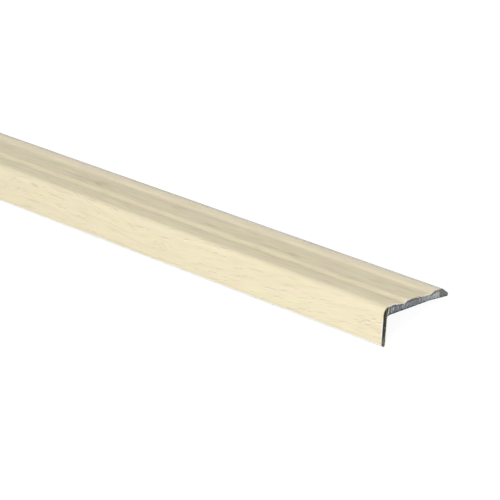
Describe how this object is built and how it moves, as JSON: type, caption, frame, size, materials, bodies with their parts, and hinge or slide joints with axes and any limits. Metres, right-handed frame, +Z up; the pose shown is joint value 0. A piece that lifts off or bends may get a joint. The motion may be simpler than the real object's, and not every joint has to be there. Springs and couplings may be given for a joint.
{
  "type": "corner guard moulding",
  "caption": "Long angle-section edge moulding: short front leg, rounded nose and wide ribbed flange that cap and protect a step or floor edge.",
  "frame": {"origin": "centre of the bounding box's bottom face, at mid length, on the floor the strip lies on", "axes": "+X along the length towards the sawn end that the picture shows, -Y towards the leg and the nose, +Z up from the floor; the section is leaned back about X as the strip lies at rest"},
  "size_m": [0.9, 0.0258, 0.0096],
  "materials": {
    "aluminium": "satin",
    "foil": "matte"
  },
  "bodies": {
    "root": {"aluminium_profile": "aluminium", "woodgrain_foil": "foil"}
  },
  "joints": []
}
